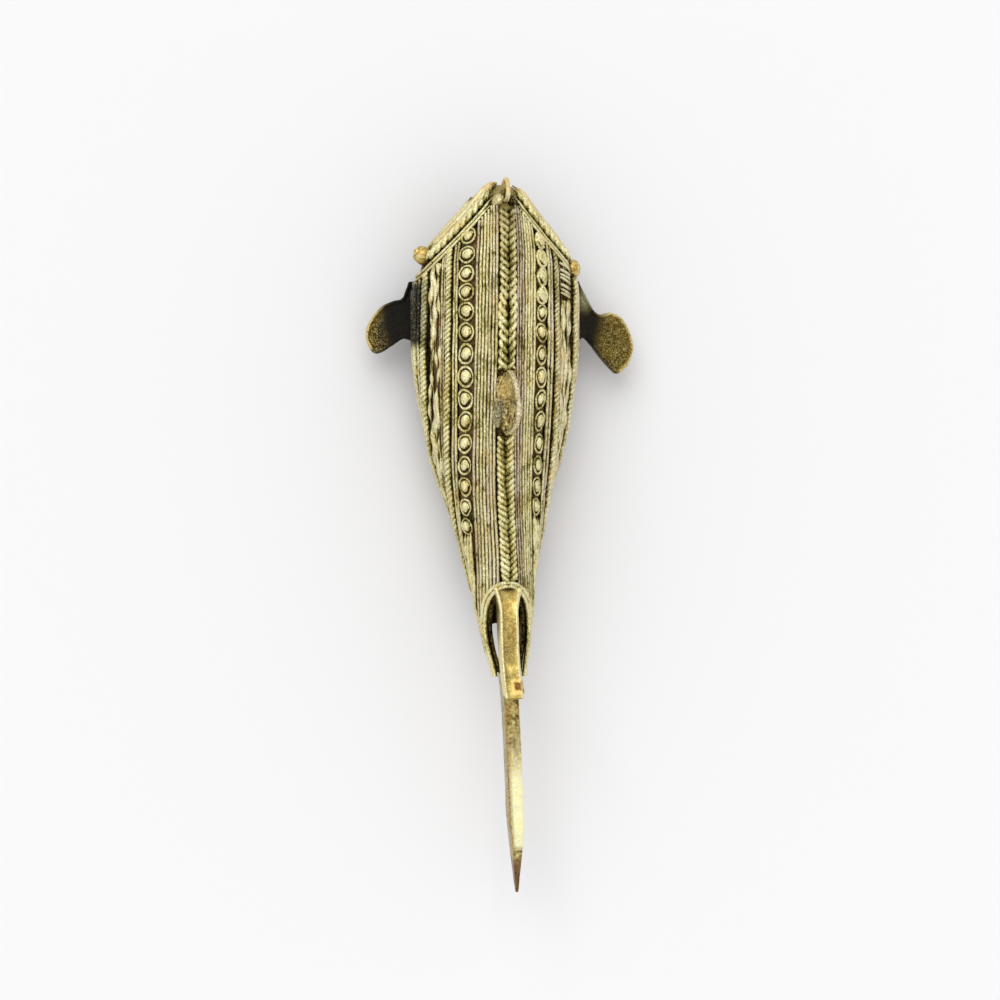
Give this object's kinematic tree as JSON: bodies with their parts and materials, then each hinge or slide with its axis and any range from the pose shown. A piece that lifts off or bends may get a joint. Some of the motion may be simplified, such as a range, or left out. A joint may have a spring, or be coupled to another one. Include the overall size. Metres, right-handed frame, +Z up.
{
  "type": "brass fish figurine",
  "caption": "Hollow lost-wax cast brass fish with laid threads, plaits and rows of coils, paddle fins, a nose loop and a forked tail; it rests on its belly.",
  "frame": {"origin": "middle of the fish's length and width, on the flat it rests on", "axes": "+Y to the nose, +Z up through the dorsal fin, +X to the fish's right"},
  "size_m": [0.0682, 0.1782, 0.0433],
  "materials": {
    "laid_brass": "cast brass, rubbed bright on the crests and dark in the grooves",
    "dark_cast_brass": "as-cast brass with dark patina",
    "golden_brass": "grainy golden cast brass, rubbed on its edges",
    "sooty_brass": "sandy cast brass, sooty at the roots and golden on the rims",
    "satin_brass": "satin brass",
    "rubbed_brass": "brass rubbed bright, darker at the tip",
    "core_clay": "fired clay left in from casting"
  },
  "bodies": {
    "root": {"body_shell": "dark_cast_brass", "clay_core": "core_clay", "spine_plait_front_left": "laid_brass", "spine_plait_front_right": "laid_brass", "spine_plait_rear_left": "laid_brass", "spine_plait_rear_right": "laid_brass", "back_threads_left": "laid_brass", "back_threads_right": "laid_brass", "shoulder_threads_left": "laid_brass", "shoulder_threads_right": "laid_brass", "shoulder_plait_left": "laid_brass", "shoulder_plait_right": "laid_brass", "flank_threads_left": "laid_brass", "flank_threads_right": "laid_brass", "side_plait_left": "laid_brass", "side_plait_right": "laid_brass", "side_threads_left": "laid_brass", "side_threads_right": "laid_brass", "coil_row_left": "laid_brass", "coil_row_right": "laid_brass", "scroll_row_left": "laid_brass", "scroll_row_right": "laid_brass", "brow_threads_left": "laid_brass", "brow_plait_left": "laid_brass", "brow_cord_left": "golden_brass", "cheek_threads_left": "dark_cast_brass", "eye_left": "golden_brass", "nostril_left": "laid_brass", "brow_threads_right": "laid_brass", "brow_plait_right": "laid_brass", "brow_cord_right": "golden_brass", "cheek_threads_right": "dark_cast_brass", "eye_right": "golden_brass", "nostril_right": "laid_brass", "nose_loop": "golden_brass", "lips": "laid_brass", "pectoral_fin_left": "sooty_brass", "pectoral_fin_right": "sooty_brass", "dorsal_fin": "golden_brass", "tail_upper_lobe": "satin_brass", "tail_plate": "rubbed_brass", "tail_rim": "laid_brass"}
  },
  "joints": []
}
